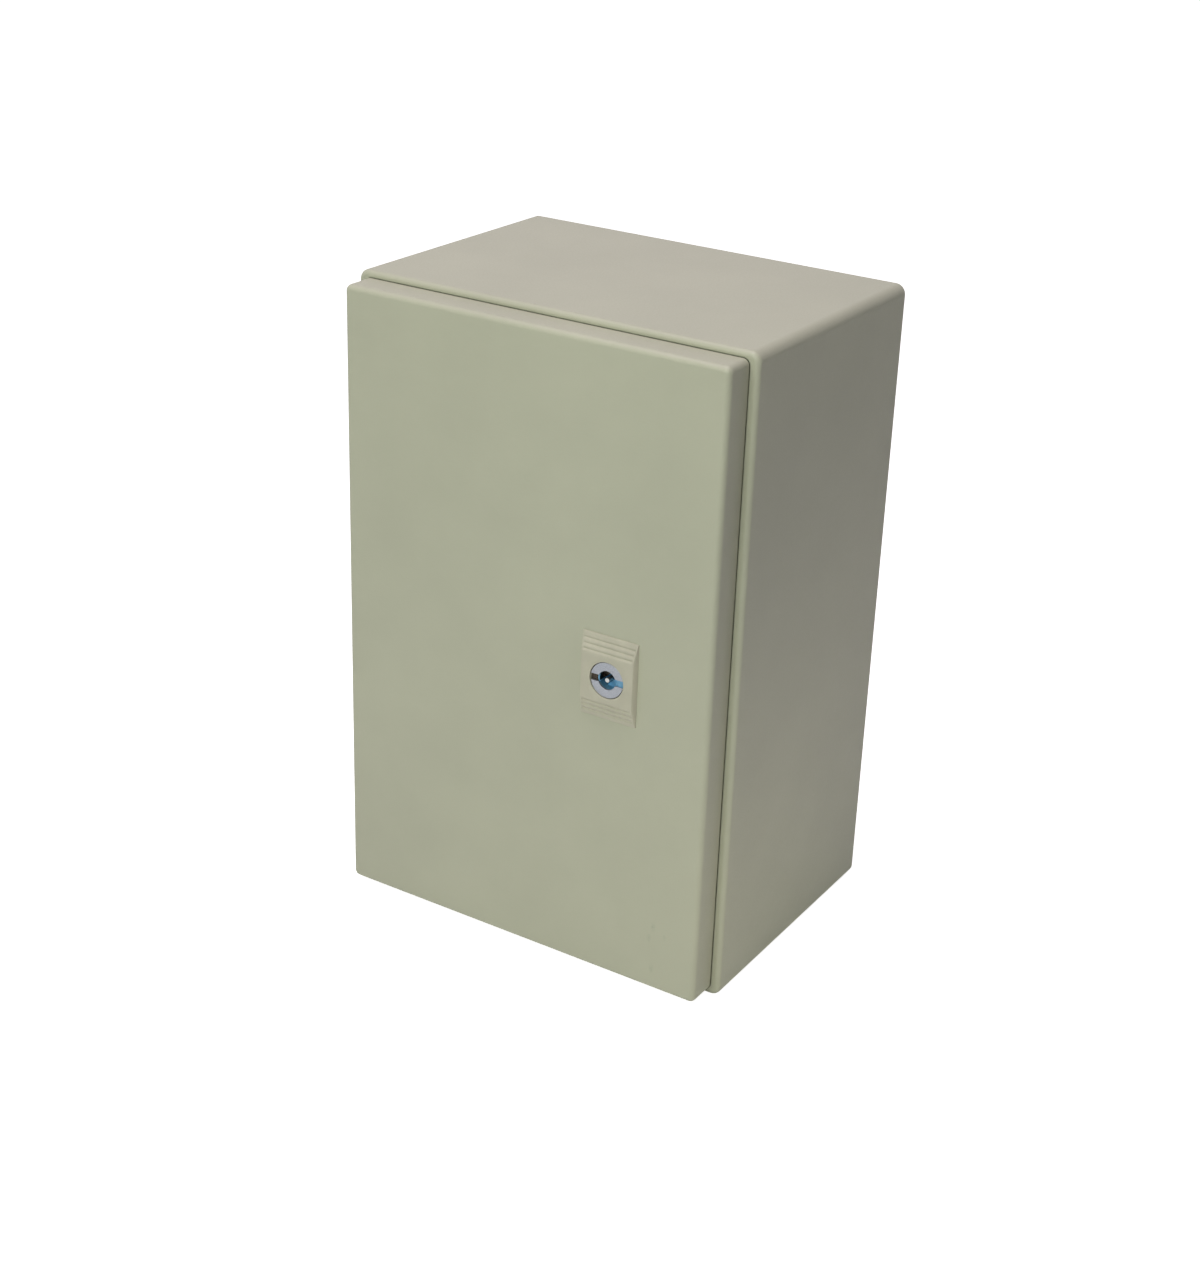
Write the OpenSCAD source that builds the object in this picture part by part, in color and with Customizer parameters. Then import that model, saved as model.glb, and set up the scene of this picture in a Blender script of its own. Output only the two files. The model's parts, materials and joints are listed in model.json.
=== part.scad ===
// Wall-mounting steel enclosure with a concealed-hinge door and a double-bit quarter-turn lock.
// Frame: +X to the right of the door, -Y towards whoever opens it, +Z up.
// The back panel's wall face lies in the plane y = 0, and the four wall holes are centred on the origin.

/* [Body] */
// Width of the body
body_w = 300; // [260:5:600]
// Height of the body
body_h = 450; // [420:5:800]
// Depth of the body, without its door
body_d = 200; // [150:5:300]
// Thickness of the body's sheet steel
sheet = 1.5; // [1.2:0.1:2]
// Corner radius of the body, seen from the front
body_corner_r = 7; // [5:0.1:8]
// Outer radius of the bend round the front of the body
body_bend_r = 3.5; // [2:0.1:3.7]

/* [Front channel] */
// Outer radius of the bend on the bead's inner edge
rim_bend_r = 1.1; // [0.8:0.1:1.3]
// Depth of the rain channel behind the bead's face
channel_depth = 5; // [4.5:0.1:8]
// Distance from the body's side to the outer face of the sealing lip
lip_inset = 30; // [29.5:0.5:36]
// Outer corner radius of the sealing lip
lip_corner_r = 4; // [2:0.5:8]

/* [Door] */
// Distance from the body's sides to the door's upright edges
side_margin = 6.5; // [5:0.1:6.7]
// Distance from the body's top and floor to the door's level edges
end_margin = 4.6; // [4.4:0.1:7]
// Overlap of the door's edge over the bead behind it
rim_lap = 0.4; // [0.2:0.1:0.8]
// Depth of the door's folded edge
door_depth = 22.2; // [20:0.1:22.4]
// Running gap between the door's edge and the bead's face
door_gap = 0.8; // [0.6:0.1:1.2]
// Thickness of the door's sheet steel
door_sheet = 1.5; // [1.2:0.1:2]
// Corner radius of the door, seen from the front
door_corner_r = 4.5; // [4:0.1:6]
// Outer radius of the door's bent edges
door_bend_r = 3.9; // [2.5:0.1:4]

/* [Seal] */
// Width of the foamed seal on the door
seal_w = 12; // [8:0.5:12.5]
// Thickness of the seal, closed against the lip
seal_t = 5.5; // [4:0.1:5.7]
// Clearance kept between the lip and the seal
seal_gap = 0.3; // [0.2:0.1:0.6]

/* [Hinges] */
// Distance from the door's edge to the hinge axis
hinge_inset = 7; // [6.8:0.1:7.5]
// Distance from the door's face to the hinge axis
hinge_setback = 12; // [11.9:0.1:12.5]
// Height between the two hinges
hinge_pitch = 300; // [200:5:340]
// Diameter of the hinge pin
hinge_pin_d = 4; // [3:0.5:4.5]
// Outer diameter of the knuckle and of the eyes
knuckle_d = 8; // [7:0.5:8.5]
// Length of the door's knuckle
knuckle_l = 16; // [10:1:24]
// Length of each eye on the body's bracket
eye_l = 6; // [4:0.5:10]
// Radial running fit of the pin in the knuckle
pin_fit = 0.05; // [0.02:0.01:0.1]
// Thickness of the bracket's foot, which lies on the lip
bracket_foot_t = 3; // [2:0.5:3.5]
// Thickness of the bracket's gooseneck arm
bracket_arm_t = 2.4; // [2:0.1:2.6]
// Height of the hinge leaf on the door
leaf_h = 60; // [52:1:90]
// Thickness of the hinge leaf
leaf_t = 2; // [1.5:0.1:2.5]

/* [Lock] */
// Distance from the door's free edge to the lock's axis
lock_inset = 74.5; // [68:0.5:90]
// Height of the lock's axis above the middle of the body
lock_z = -1; // [-60:1:60]
// Width of the lock's escutcheon
bezel_w = 42; // [34:1:60]
// Height of the lock's escutcheon
bezel_h = 58.5; // [50:0.5:80]
// Height of the escutcheon's middle above the door
bezel_t = 4.5; // [4:0.1:6]
// Thickness of the escutcheon at its upper and lower ends
bezel_edge_t = 0.8; // [0.5:0.1:1.5]
// Length of each sloping end of the escutcheon
bezel_ramp = 13; // [12:0.5:13.5]
// Draft of the escutcheon's sides, from the door to its face
bezel_draft = 1.5; // [0:0.1:2.5]
// Diameter of the lock's face
face_d = 24.5; // [23:0.5:27]
// Diameter of the lock's threaded barrel
barrel_d = 20; // [19:0.5:21]
// Diameter of the rotor that the key turns
rotor_d = 15; // [14.5:0.1:15.5]
// Diameter of the key opening
key_d = 13; // [12.6:0.1:13.2]
// Width of the slots for the key's two bits
bit_w = 4.7; // [3:0.1:6]
// Diameter of the pin that guides the key
key_pin_d = 3; // [2.5:0.1:3.2]
// Radial running fit of the rotor in its barrel
rotor_fit = 0.05; // [0.02:0.01:0.1]
// Thickness of the locking cam
cam_t = 2.5; // [2:0.1:4]
// Width of the locking cam
cam_w = 18; // [14:1:24]
// Overlap of the cam behind the channel, past the lip
cam_reach = 11; // [6:0.5:16]
// Running gap between the cam and the channel
cam_gap = 0.3; // [0.2:0.1:0.8]

/* [Mounting plate] */
// Gap between the body's side and the mounting plate
plate_margin = 30; // [26:1:50]
// Thickness of the mounting plate
plate_t = 2; // [1.5:0.1:3]
// Height of the plate off the back panel
plate_standoff = 15; // [12:1:40]
// Depth of the plate's folded edges
plate_fold = 9; // [6:0.5:10]
// Distance from the plate's edges to its studs
plate_stud_inset = 15; // [12:1:25]

/* [Fixings] */
// Distance from the body's sides to the wall holes
wall_hole_inset = 18; // [14:1:20]
// Diameter of the wall holes
wall_hole_d = 8.5; // [6:0.5:9]
// Thread diameter of the plate and earth studs
stud_d = 8; // [6:1:8]
// Thread diameter of the small studs
small_stud_d = 5; // [4:0.5:5]

/* [Gland plate] */
// Width of the cable opening in the floor of the body
gland_w = 180; // [120:5:190]
// Depth of the cable opening in the floor of the body
gland_d = 70; // [50:5:80]
// Overlap of the gland plate round the opening
gland_lap = 15; // [14:1:18]
// Thickness of the gland plate
gland_t = 1.5; // [1:0.1:3]
// Thickness of the gland plate's flat seal
gland_seal_t = 2; // [1:0.5:4]

/* [Hidden] */
$fn = 48;
over = 1;                                   // how far a cutter runs past the face it cuts

paint = [0.67, 0.68, 0.59];
galvanised = [0.72, 0.74, 0.76];
zinc = [0.62, 0.64, 0.67];
blue_zinc = [0.45, 0.55, 0.68];
bright_steel = [0.80, 0.80, 0.78];
beige_plastic = [0.73, 0.70, 0.60];
seal_grey = [0.16, 0.16, 0.17];

// Planes along Y, from the wall to the front.
rim_y = -body_d;
door_back_y = rim_y - door_gap;
door_front_y = door_back_y - door_depth;
door_in_y = door_front_y + door_sheet;
seal_back_y = door_in_y + seal_t;
lip_tip_y = seal_back_y + seal_gap;
wrap_y = rim_y + 2 * body_bend_r;            // the walls start behind the whole of the bend
channel_y = rim_y + channel_depth;
channel_back_y = channel_y + sheet;
back_in_y = -sheet;
plate_back_y = back_in_y - plate_standoff;
plate_front_y = plate_back_y - plate_t;

// Overall sizes of the pieces that follow the body.
door_w = body_w - 2 * side_margin;
door_h = body_h - 2 * end_margin;
window_w = door_w - 2 * rim_lap;
window_h = door_h - 2 * rim_lap;
window_r = door_corner_r - rim_lap;
lip_w = body_w - 2 * lip_inset;
lip_h = body_h - 2 * lip_inset;
seal_inset = lip_inset + sheet / 2 - seal_w / 2;
plate_w = body_w - 2 * plate_margin;
plate_h = body_h - 2 * plate_margin;
floor_z = -body_h / 2;
floor_in_z = floor_z + sheet;

// Hinges.
axis_x = -door_w / 2 + hinge_inset;
axis_y = door_front_y + hinge_setback;
hinge_float = 0.3;                          // end float of the knuckle between the eyes
eye_gap = knuckle_l + 2 * hinge_float;
bracket_h = eye_gap + 2 * eye_l;
arm_front = 3.4;                            // distance of the arm's front face before the axis
pin_head_d = hinge_pin_d + 2.4;
pin_head_t = 1.2;
leaf_left = -door_w / 2 + door_bend_r;      // clear of the bend inside the door's edge
leaf_right = -body_w / 2 + seal_inset - 0.5;
leaf_x = (leaf_left + leaf_right) / 2;
leaf_y = door_in_y + leaf_t;
leaf_stud_z = leaf_h / 2 - 8;
leaf_stud_l = leaf_t + 6;

// Fixings.
small_nut_t = 4;
small_nut_af = 8;
nut_t = 6.5;
nut_af = 13;
washer_t = 1.6;
washer_d = 16;
collar_d = 14;
plate_fold_relief = 12;                     // length of fold left off at each end of the plate
plate_stud_tip = 5;                         // thread that stands past the plate's nut
earth_stud_l = 22;
earth_inset_z = 35;                         // height of the body's earth stud above the floor
earth_y = -60;
door_earth_x = -body_w / 2 + lip_inset + 18;
door_earth_z = -body_h / 2 + lip_inset + 22;

// Gland plate, which closes the cable opening from inside.
gland_y = -body_d / 2 - 10;                 // a little forward of the middle of the floor
gland_corner_r = 5;
gland_seal_z = floor_in_z + gland_seal_t;
gland_top_z = gland_seal_z + gland_t;
gland_pitch_x = (gland_w + gland_lap) / 2;
gland_pitch_y = (gland_d + gland_lap) / 2;
gland_stud_l = gland_seal_t + gland_t + small_nut_t + 3;

// Lock.
lock_x = door_w / 2 - lock_inset;
face_recess = 0.7;
bezel_front_y = door_front_y - bezel_t;
bezel_ledge = 1.5;
face_y = bezel_front_y + face_recess;
face_back_y = door_front_y - bezel_ledge;
face_wall = 1.6;
barrel_back_y = channel_back_y - 2;
circlip_t = 1;
circlip_y = barrel_back_y - 1.8;
rotor_front_y = face_y + face_wall + 0.1;
rotor_back_y = circlip_y - 0.2;
rotor_cup = 5;                              // depth of the rotor's cup before its two lands
bit_depth = 6;
rotor_neck_d = 10;
cam_y = channel_back_y + cam_gap;
cam_back_y = cam_y + cam_t;
cam_square = 8;
cam_washer_t = 1.2;
cam_washer_d = 14;
cam_screw_d = 5;
cam_screw_head_t = 3.5;
cam_screw_af = 8;
cam_screw_l = 14;
cam_length = body_w / 2 - lip_inset + cam_reach - lock_x;
key_pin_recess = 0.6;                       // the guide pin ends this far behind the lock's face
bit_angle = 40;                             // the rotor's slot leans this far from level at rest
lock_seal_t = 1;
lock_seal_d = 29;
lock_nut_t = 6;
lock_nut_af = 27;
rib_first = 4.1;                            // distance from the escutcheon's end to its first groove
rib_pitch = 3.5;
rib_groove_w = 0.9;
rib_groove_d = 0.7;

// A rectangle with rounded corners, centred.
module round_rect(w, h, r) {
    union() {
        square([w - 2 * r, h], center = true);
        square([w, h - 2 * r], center = true);
        for (sx = [-1, 1], sz = [-1, 1]) translate([sx * (w / 2 - r), sz * (h / 2 - r)]) circle(r);
    }
}

// An upright prism that faces the front, from y0 back to y1.
module facing(y0, y1) {
    translate([0, y1, 0]) rotate([90, 0, 0]) linear_extrude(y1 - y0) children();
}

// A bar along Y, from y0 back to y1.
module bar(d, y0, y1) {
    translate([0, y1, 0]) rotate([90, 0, 0]) cylinder(d = d, h = y1 - y0);
}

// A hexagon bar along Y, measured across its flats.
module hex_bar(af, y0, y1) {
    translate([0, y1, 0]) rotate([90, 0, 0]) cylinder(d = af / cos(30), h = y1 - y0, $fn = 6);
}

// A folded block: bend_r rounds its front edges, and corner_r its corners seen from the front.
module bent_block(w, h, corner_r, bend_r, y0, y1) {
    flat_r = corner_r - bend_r;
    union() {
        facing(y0 + bend_r, y1) round_rect(w, h, corner_r);
        facing(y0, y0 + bend_r) round_rect(w - 2 * bend_r, h - 2 * bend_r, flat_r);
        for (s = [-1, 1]) {
            translate([s * (w / 2 - bend_r), y0 + bend_r, 0])
                cylinder(r = bend_r, h = h - 2 * corner_r, center = true);
            translate([0, y0 + bend_r, s * (h / 2 - bend_r)]) rotate([0, 90, 0])
                cylinder(r = bend_r, h = w - 2 * corner_r, center = true);
            for (t = [-1, 1]) translate([s * (w / 2 - corner_r), y0 + bend_r, t * (h / 2 - corner_r)])
                rotate([90, 0, 0]) rotate_extrude() intersection() {
                    union() {
                        translate([flat_r, 0]) circle(r = bend_r);
                        square([flat_r, bend_r]);
                    }
                    square([corner_r, bend_r]);
                }
        }
    }
}

// A frame between two rectangles, from y0 back to y1.
module frame(w, h, r, wall, y0, y1) {
    difference() {
        facing(y0, y1) round_rect(w, h, r);
        facing(y0 - over, y1 + over) round_rect(w - 2 * wall, h - 2 * wall, max(r - wall, 0.5));
    }
}

// What the bend takes off the bead's inner edge: x runs out from the edge, y back from the face.
module bead_waste() {
    difference() {
        translate([-over, -over]) square([rim_bend_r + over, rim_bend_r + over]);
        translate([rim_bend_r, rim_bend_r]) circle(rim_bend_r);
    }
}

// Cuts the bend all the way round the window in the front of the body.
module bead_cutter() {
    for (s = [0, 180], t = [0, 1]) rotate([0, s, 0]) {
        half = t == 0 ? window_w / 2 : window_h / 2;
        length = (t == 0 ? window_h : window_w) - 2 * window_r;
        rotate([0, -90 * t, 0]) translate([half, rim_y, 0]) linear_extrude(length, center = true) bead_waste();
    }
    for (c = [[1, -1, 0], [-1, -1, 90], [-1, 1, 180], [1, 1, 270]])
        translate([c[0] * (window_w / 2 - window_r), rim_y, c[1] * (window_h / 2 - window_r)])
            rotate([0, c[2], 0]) rotate([-90, 0, 0])
                rotate_extrude(angle = 90) translate([window_r, 0]) bead_waste();
}

// The wrap's four walls, back from its folded front.
module body_wrap() {
    color(paint) difference() {
        facing(wrap_y, 0) round_rect(body_w, body_h, body_corner_r);
        facing(wrap_y - over, over) round_rect(body_w - 2 * sheet, body_h - 2 * sheet, body_corner_r - sheet);
        translate([0, gland_y, floor_z - over]) linear_extrude(sheet + 2 * over)
            round_rect(gland_w, gland_d, gland_corner_r);
    }
}

// The wrap's folded front: the bend, the bead's face and its return to the channel.
module front_rim() {
    color(paint) difference() {
        union() {
            difference() {
                bent_block(body_w, body_h, body_corner_r, body_bend_r, rim_y, wrap_y);
                bent_block(body_w - 2 * sheet, body_h - 2 * sheet, body_corner_r - sheet, body_bend_r - sheet,
                           rim_y + sheet, wrap_y + over);
            }
            frame(window_w + 2 * sheet, window_h + 2 * sheet, window_r + sheet, sheet,
                  rim_y + sheet / 2, channel_back_y);
        }
        facing(rim_y - over, channel_back_y + over) round_rect(window_w, window_h, window_r);
        bead_cutter();
    }
}

// The channel's floor and the lip that the door's seal closes on.
module front_channel() {
    color(paint) union() {
        difference() {
            facing(channel_y, channel_back_y)
                round_rect(window_w, window_h, window_r);
            facing(channel_y - over, channel_back_y + over)
                round_rect(lip_w - 2 * sheet, lip_h - 2 * sheet, lip_corner_r - sheet);
        }
        frame(lip_w, lip_h, lip_corner_r, sheet, lip_tip_y, channel_y + sheet / 2);
    }
}

module back_panel() {
    color(paint) difference() {
        facing(back_in_y, 0) round_rect(body_w - 2 * sheet, body_h - 2 * sheet, body_corner_r - sheet);
        for (sx = [-1, 1], sz = [-1, 1])
            translate([sx * (body_w / 2 - wall_hole_inset), 0, sz * (body_h / 2 - wall_hole_inset)])
                bar(wall_hole_d, back_in_y - over, over);
    }
}

// Places its children at the mounting plate's four studs.
module at_plate_studs() {
    for (sx = [-1, 1], sz = [-1, 1])
        translate([sx * (plate_w / 2 - plate_stud_inset), 0, sz * (plate_h / 2 - plate_stud_inset)])
            children();
}

module plate_studs() {
    color(bright_steel) at_plate_studs() union() {
        bar(collar_d, plate_back_y, back_in_y);
        bar(stud_d, plate_front_y - washer_t - nut_t - plate_stud_tip, plate_back_y);
    }
}

module mounting_plate() {
    color(galvanised) difference() {
        union() {
            facing(plate_front_y, plate_back_y) round_rect(plate_w, plate_h, 3);
            for (s = [-1, 1]) translate([s * (plate_w - plate_t) / 2, 0, 0])
                facing(plate_front_y + plate_t / 2, plate_back_y + plate_fold - plate_t)
                    square([plate_t, plate_h - 2 * plate_fold_relief], center = true);
        }
        at_plate_studs() bar(stud_d + 0.6, plate_front_y - over, plate_back_y + over);
    }
}

module plate_washers() {
    color(bright_steel) at_plate_studs() difference() {
        bar(washer_d, plate_front_y - washer_t, plate_front_y);
        bar(stud_d + 0.4, plate_front_y - washer_t - over, plate_front_y + over);
    }
}

module plate_nuts() {
    nut_back = plate_front_y - washer_t;
    color(bright_steel) at_plate_studs() difference() {
        hex_bar(nut_af, nut_back - nut_t, nut_back);
        bar(stud_d, nut_back - nut_t - over, nut_back + over);
    }
}

// Puts its children's Y axis on the body's earth stud, with y = 0 on the side wall.
module at_body_earth() {
    translate([body_w / 2 - sheet, earth_y, floor_z + earth_inset_z]) rotate([0, 0, -90]) children();
}

module body_earth_stud() {
    color(bright_steel) at_body_earth() bar(stud_d, -earth_stud_l, 0);
}

// A washer and a nut on an earth stud, whose foot is at y = 0.
module earth_nuts() {
    difference() {
        union() {
            bar(washer_d, -washer_t, 0);
            hex_bar(nut_af, -washer_t - nut_t, -washer_t);
        }
        bar(stud_d, -washer_t - nut_t - over, over);
    }
}

module body_earth_nuts() {
    color(bright_steel) at_body_earth() earth_nuts();
}

// Places its children at the gland plate's six studs.
module at_gland_studs() {
    for (sx = [-1, 0, 1], sy = [-1, 1])
        translate([sx * gland_pitch_x, gland_y + sy * gland_pitch_y, 0]) children();
}

module gland_studs() {
    color(bright_steel) at_gland_studs() translate([0, 0, floor_in_z])
        cylinder(d = small_stud_d, h = gland_stud_l);
}

module gland_seal() {
    color(seal_grey) difference() {
        translate([0, gland_y, floor_in_z]) linear_extrude(gland_seal_t)
            round_rect(gland_w + 2 * gland_lap, gland_d + 2 * gland_lap, gland_corner_r + 1);
        translate([0, gland_y, floor_in_z - over]) linear_extrude(gland_seal_t + 2 * over)
            round_rect(gland_w, gland_d, gland_corner_r);
        at_gland_studs() translate([0, 0, floor_in_z - over])
            cylinder(d = small_stud_d + 0.6, h = gland_seal_t + 2 * over);
    }
}

module gland_plate() {
    color(paint) difference() {
        translate([0, gland_y, gland_seal_z]) linear_extrude(gland_t)
            round_rect(gland_w + 2 * gland_lap, gland_d + 2 * gland_lap, gland_corner_r + 1);
        at_gland_studs() translate([0, 0, gland_seal_z - over])
            cylinder(d = small_stud_d + 0.6, h = gland_t + 2 * over);
    }
}

module gland_nuts() {
    color(bright_steel) at_gland_studs() translate([0, 0, gland_top_z]) difference() {
        cylinder(d = small_nut_af / cos(30), h = small_nut_t, $fn = 6);
        translate([0, 0, -over]) cylinder(d = small_stud_d, h = small_nut_t + 2 * over);
    }
}

// The body's half of a hinge: a foot on the lip, a gooseneck arm and two eyes.
module hinge_bracket(z) {
    foot_x = -body_w / 2 + lip_inset - bracket_foot_t;
    arm_y = axis_y - arm_front;
    color(zinc) translate([0, 0, z]) difference() {
        union() {
            translate([foot_x, arm_y, -bracket_h / 2])
                cube([bracket_foot_t, channel_y - arm_y, bracket_h]);
            for (s = [-1, 1]) translate([0, 0, s * (eye_gap + eye_l) / 2]) {
                translate([axis_x, arm_y, -eye_l / 2]) cube([foot_x - axis_x + over, bracket_arm_t, eye_l]);
                translate([axis_x, axis_y, 0]) cylinder(d = knuckle_d, h = eye_l, center = true);
            }
        }
        translate([axis_x, axis_y, 0]) cylinder(d = hinge_pin_d, h = bracket_h + 2 * over, center = true);
    }
}

module hinge_bracket_upper() { hinge_bracket(hinge_pitch / 2); }
module hinge_bracket_lower() { hinge_bracket(-hinge_pitch / 2); }

// A headed pin, fixed in the two eyes.
module hinge_pin(z) {
    color(bright_steel) translate([axis_x, axis_y, z]) union() {
        cylinder(d = hinge_pin_d, h = bracket_h, center = true);
        translate([0, 0, bracket_h / 2]) cylinder(d = pin_head_d, h = pin_head_t);
    }
}

module hinge_pin_upper() { hinge_pin(hinge_pitch / 2); }
module hinge_pin_lower() { hinge_pin(-hinge_pitch / 2); }

module door_panel() {
    color(paint) difference() {
        bent_block(door_w, door_h, door_corner_r, door_bend_r, door_front_y, door_back_y);
        bent_block(door_w - 2 * door_sheet, door_h - 2 * door_sheet, door_corner_r - door_sheet,
                   door_bend_r - door_sheet, door_in_y, door_back_y + over);
        translate([lock_x, 0, lock_z]) bar(barrel_d + 0.4, door_front_y - over, door_in_y + over);
    }
}

module door_seal() {
    color(seal_grey) frame(body_w - 2 * seal_inset, body_h - 2 * seal_inset, seal_w - 3, seal_w,
                           door_in_y, seal_back_y);
}

// Places its children at the studs that hold the hinge leaves.
module at_leaf_studs() {
    for (sh = [-1, 1], s = [-1, 1])
        translate([leaf_x, 0, sh * hinge_pitch / 2 + s * leaf_stud_z]) children();
}

module door_studs() {
    color(bright_steel) {
        at_leaf_studs() bar(small_stud_d, door_in_y, door_in_y + leaf_stud_l);
        translate([door_earth_x, 0, door_earth_z]) bar(stud_d, door_in_y, door_in_y + earth_stud_l);
    }
}

// The door's half of a hinge: a leaf on two studs, with one knuckle.
module hinge_leaf(z) {
    color(zinc) translate([0, 0, z]) difference() {
        union() {
            translate([leaf_x, 0, 0]) facing(door_in_y, leaf_y)
                round_rect(leaf_right - leaf_left, leaf_h, 2);
            translate([axis_x - knuckle_d / 2, door_in_y + leaf_t / 2, -knuckle_l / 2])
                cube([knuckle_d, axis_y - door_in_y - leaf_t / 2, knuckle_l]);
            translate([axis_x, axis_y, 0]) cylinder(d = knuckle_d, h = knuckle_l, center = true);
        }
        translate([axis_x, axis_y, 0])
            cylinder(d = hinge_pin_d + 2 * pin_fit, h = knuckle_l + 2 * over, center = true);
        for (s = [-1, 1]) translate([leaf_x, 0, s * leaf_stud_z])
            bar(small_stud_d + 0.5, door_in_y - over, leaf_y + over);
    }
}

module hinge_leaf_upper() { hinge_leaf(hinge_pitch / 2); }
module hinge_leaf_lower() { hinge_leaf(-hinge_pitch / 2); }

module hinge_leaf_nuts() {
    color(bright_steel) at_leaf_studs() difference() {
        hex_bar(small_nut_af, leaf_y, leaf_y + small_nut_t);
        bar(small_stud_d, leaf_y - over, leaf_y + small_nut_t + over);
    }
}

module door_earth_nuts() {
    color(bright_steel) translate([door_earth_x, door_in_y, door_earth_z]) rotate([0, 0, 180]) earth_nuts();
}

// Places its children on the lock's axis.
module at_lock() {
    translate([lock_x, 0, lock_z]) children();
}

// The escutcheon: a plate with sloping, grooved ends and a seat for the lock's face.
module lock_bezel() {
    half = bezel_h / 2;
    slope = (bezel_t - bezel_edge_t) / bezel_ramp;
    color(beige_plastic) at_lock() difference() {
        intersection() {
            translate([0, door_front_y, 0]) rotate([0, 0, 180]) rotate([0, -90, 0])
                linear_extrude(bezel_w, center = true)
                    polygon([[-half, 0], [half, 0], [half, bezel_edge_t], [half - bezel_ramp, bezel_t],
                             [bezel_ramp - half, bezel_t], [-half, bezel_edge_t]]);
            translate([0, door_front_y, 0]) linear_extrude(bezel_h, center = true)
                polygon([[-bezel_w / 2, 0], [bezel_w / 2, 0], [bezel_w / 2 - bezel_draft, -bezel_t],
                         [bezel_draft - bezel_w / 2, -bezel_t]]);
        }
        for (s = [-1, 1], i = [0 : 2]) {
            from_end = rib_first + i * rib_pitch;
            surface = bezel_edge_t + slope * from_end;
            translate([-bezel_w / 2 - over, door_front_y - surface - 1, s * (half - from_end) - rib_groove_w / 2])
                cube([bezel_w + 2 * over, 1 + rib_groove_d, rib_groove_w]);
        }
        bar(face_d + 0.3, bezel_front_y - over, face_back_y);
        bar(barrel_d + 0.4, face_back_y - over, door_front_y + over);
    }
}

// The lock's fixed barrel, with its face and key opening.
module lock_barrel() {
    bore_d = rotor_d + 2 * rotor_fit;
    color(zinc) at_lock() difference() {
        union() {
            bar(face_d, face_y, face_back_y);
            bar(barrel_d, face_back_y - over, barrel_back_y);
        }
        bar(key_d, face_y - over, face_y + face_wall + over);
        bar(bore_d, face_y + face_wall, barrel_back_y + over);
        bar(bore_d + 1.5, circlip_y, circlip_y + circlip_t);
        translate([-face_d / 2 - over, face_y - over, -bit_w / 2])
            cube([face_d + 2 * over, face_wall + over, bit_w]);
    }
}

module lock_seal() {
    color(seal_grey) at_lock() difference() {
        bar(lock_seal_d, door_in_y, door_in_y + lock_seal_t);
        bar(barrel_d, door_in_y - over, door_in_y + lock_seal_t + over);
    }
}

module lock_nut() {
    nut_y = door_in_y + lock_seal_t;
    color(bright_steel) at_lock() difference() {
        hex_bar(lock_nut_af, nut_y, nut_y + lock_nut_t);
        bar(barrel_d, nut_y - over, nut_y + lock_nut_t + over);
    }
}

module lock_circlip() {
    color(bright_steel) at_lock() difference() {
        bar(rotor_d + 2 * rotor_fit + 1.5, circlip_y, circlip_y + circlip_t);
        bar(rotor_neck_d + 1, circlip_y - over, circlip_y + circlip_t + over);
        translate([-2, circlip_y - over, -rotor_d]) cube([4, circlip_t + 2 * over, rotor_d]);
    }
}

// The rotor: a cup with a guide pin and two lands, a neck, and a square for the cam.
module lock_rotor() {
    cup_y = rotor_front_y + rotor_cup;
    color(blue_zinc) at_lock() difference() {
        union() {
            difference() {
                bar(rotor_d, rotor_front_y, rotor_back_y);
                bar(key_d - 0.2, rotor_front_y - over, cup_y);
                rotate([0, -bit_angle, 0]) translate([-key_d / 2 + 0.1, cup_y - over, -bit_w / 2])
                    cube([key_d - 0.2, bit_depth + over, bit_w]);
            }
            bar(key_pin_d, face_y + key_pin_recess, cup_y + bit_depth + over);
            bar(rotor_neck_d, rotor_back_y - over, cam_y);
            translate([-cam_square / 2, cam_y - over, -cam_square / 2])
                cube([cam_square, cam_t - 0.2 + over, cam_square]);
        }
        bar(cam_screw_d, cam_back_y + cam_washer_t - cam_screw_l, cam_back_y);
    }
}

// The cam hangs down when the lock is open, and swings up behind the channel to lock the door.
module lock_cam() {
    color(galvanised) at_lock() difference() {
        facing(cam_y, cam_back_y) union() {
            circle(d = cam_w);
            translate([-cam_w / 2, cam_w / 2 - cam_length]) square([cam_w, cam_length - cam_w / 2]);
            translate([0, cam_w / 2 - cam_length]) circle(d = cam_w);
        }
        translate([-cam_square / 2 - 0.05, cam_y - over, -cam_square / 2 - 0.05])
            cube([cam_square + 0.1, cam_t + 2 * over, cam_square + 0.1]);
    }
}

module cam_washer() {
    color(bright_steel) at_lock() difference() {
        bar(cam_washer_d, cam_back_y, cam_back_y + cam_washer_t);
        bar(cam_screw_d + 0.3, cam_back_y - over, cam_back_y + cam_washer_t + over);
    }
}

module cam_screw() {
    head_y = cam_back_y + cam_washer_t;
    color(bright_steel) at_lock() union() {
        hex_bar(cam_screw_af, head_y, head_y + cam_screw_head_t);
        bar(cam_screw_d, head_y - cam_screw_l, head_y + over);
    }
}

body_wrap();
front_rim();
front_channel();
back_panel();
plate_studs();
mounting_plate();
plate_washers();
plate_nuts();
body_earth_stud();
body_earth_nuts();
gland_studs();
gland_seal();
gland_plate();
gland_nuts();
hinge_bracket_upper();
hinge_bracket_lower();
hinge_pin_upper();
hinge_pin_lower();
door_panel();
door_seal();
door_studs();
hinge_leaf_upper();
hinge_leaf_lower();
hinge_leaf_nuts();
door_earth_nuts();
lock_bezel();
lock_barrel();
lock_seal();
lock_nut();
lock_circlip();
lock_rotor();
lock_cam();
cam_washer();
cam_screw();
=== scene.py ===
"""Looks of the steel wall enclosure: finishes for its parts, finer pieces where they show, and a studio."""

import json
import math

import bmesh
import bpy
from bpy.props import FloatProperty, FloatVectorProperty, IntProperty, PointerProperty
from bpy.types import Operator, Panel, PropertyGroup
from mathutils import Matrix, Vector


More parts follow.
